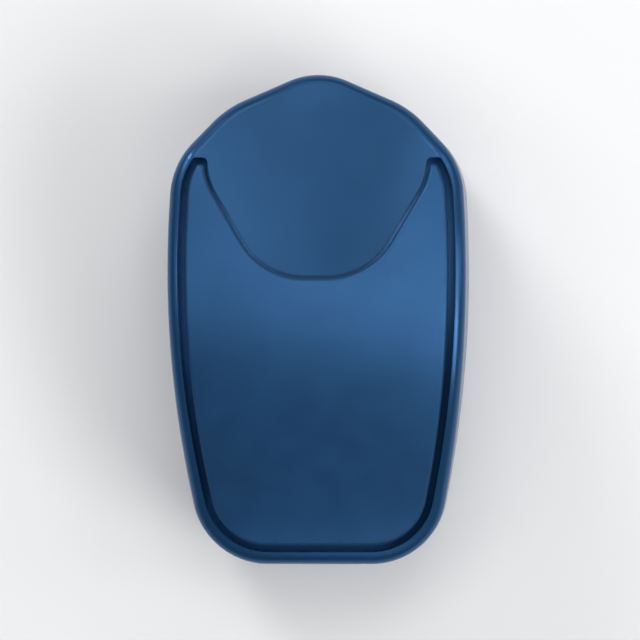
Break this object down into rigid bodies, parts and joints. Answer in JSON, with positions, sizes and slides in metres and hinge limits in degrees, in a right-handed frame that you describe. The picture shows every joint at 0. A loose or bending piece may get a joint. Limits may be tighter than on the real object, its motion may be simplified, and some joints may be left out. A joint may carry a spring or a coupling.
{
  "type": "magnetic glass cleaner",
  "caption": "Palm-sized magnetic aquarium glass cleaner: a humped hand half with finger scoop and grip panel over a flat floating scrubber half; the halves pull apart.",
  "frame": {"origin": "centre of the footprint, on the flat back of the tank half that the cleaner lies on", "axes": "+Z out of the table through the tank half, the glass plane and the hand half; +Y to the pointed nose; +X across"},
  "size_m": [0.039, 0.064, 0.0373],
  "materials": {
    "hand_shell_plastic": "satin moulded plastic, fine grain",
    "tank_shell_plastic": "satin moulded plastic, fine grain",
    "grip_elastomer": "soft-touch elastomer",
    "base_plastic": "matt moulded plastic",
    "tray_plastic": "natural moulded plastic",
    "magnet_plating": "nickel plated",
    "yoke_steel": "zinc-plated sheet",
    "cushion_foam": "closed-cell foam",
    "adhesive_film": "double-sided film",
    "felt": "needled felt",
    "scrub_fleece": "abrasive non-woven fleece",
    "seal_rubber": "moulded gasket"
  },
  "bodies": {
    "tank_half": {"tank_shell": "tank_shell_plastic", "tank_grip_inlay": "grip_elastomer", "tank_base_plate": "base_plastic", "tank_seal_ring": "seal_rubber", "tank_magnet_tray": "tray_plastic", "tank_magnet_front": "magnet_plating", "tank_magnet_rear": "magnet_plating", "tank_yoke_plate": "yoke_steel", "tank_float_foam": "cushion_foam", "tank_pad_adhesive": "adhesive_film", "scrub_pad": "scrub_fleece"},
    "hand_half": {"hand_shell": "hand_shell_plastic", "grip_panel": "grip_elastomer", "hand_base_plate": "base_plastic", "hand_magnet_tray": "tray_plastic", "hand_magnet_front": "magnet_plating", "hand_magnet_rear": "magnet_plating", "hand_yoke_plate": "yoke_steel", "hand_magnet_cushion": "cushion_foam", "hand_pad_adhesive": "adhesive_film", "felt_pad": "felt"}
  },
  "joints": [
    {"name": "halves_apart", "type": "slide", "parent": "tank_half", "child": "hand_half", "axis": [0, 0, 1], "range_m": [0, 0.04]}
  ]
}
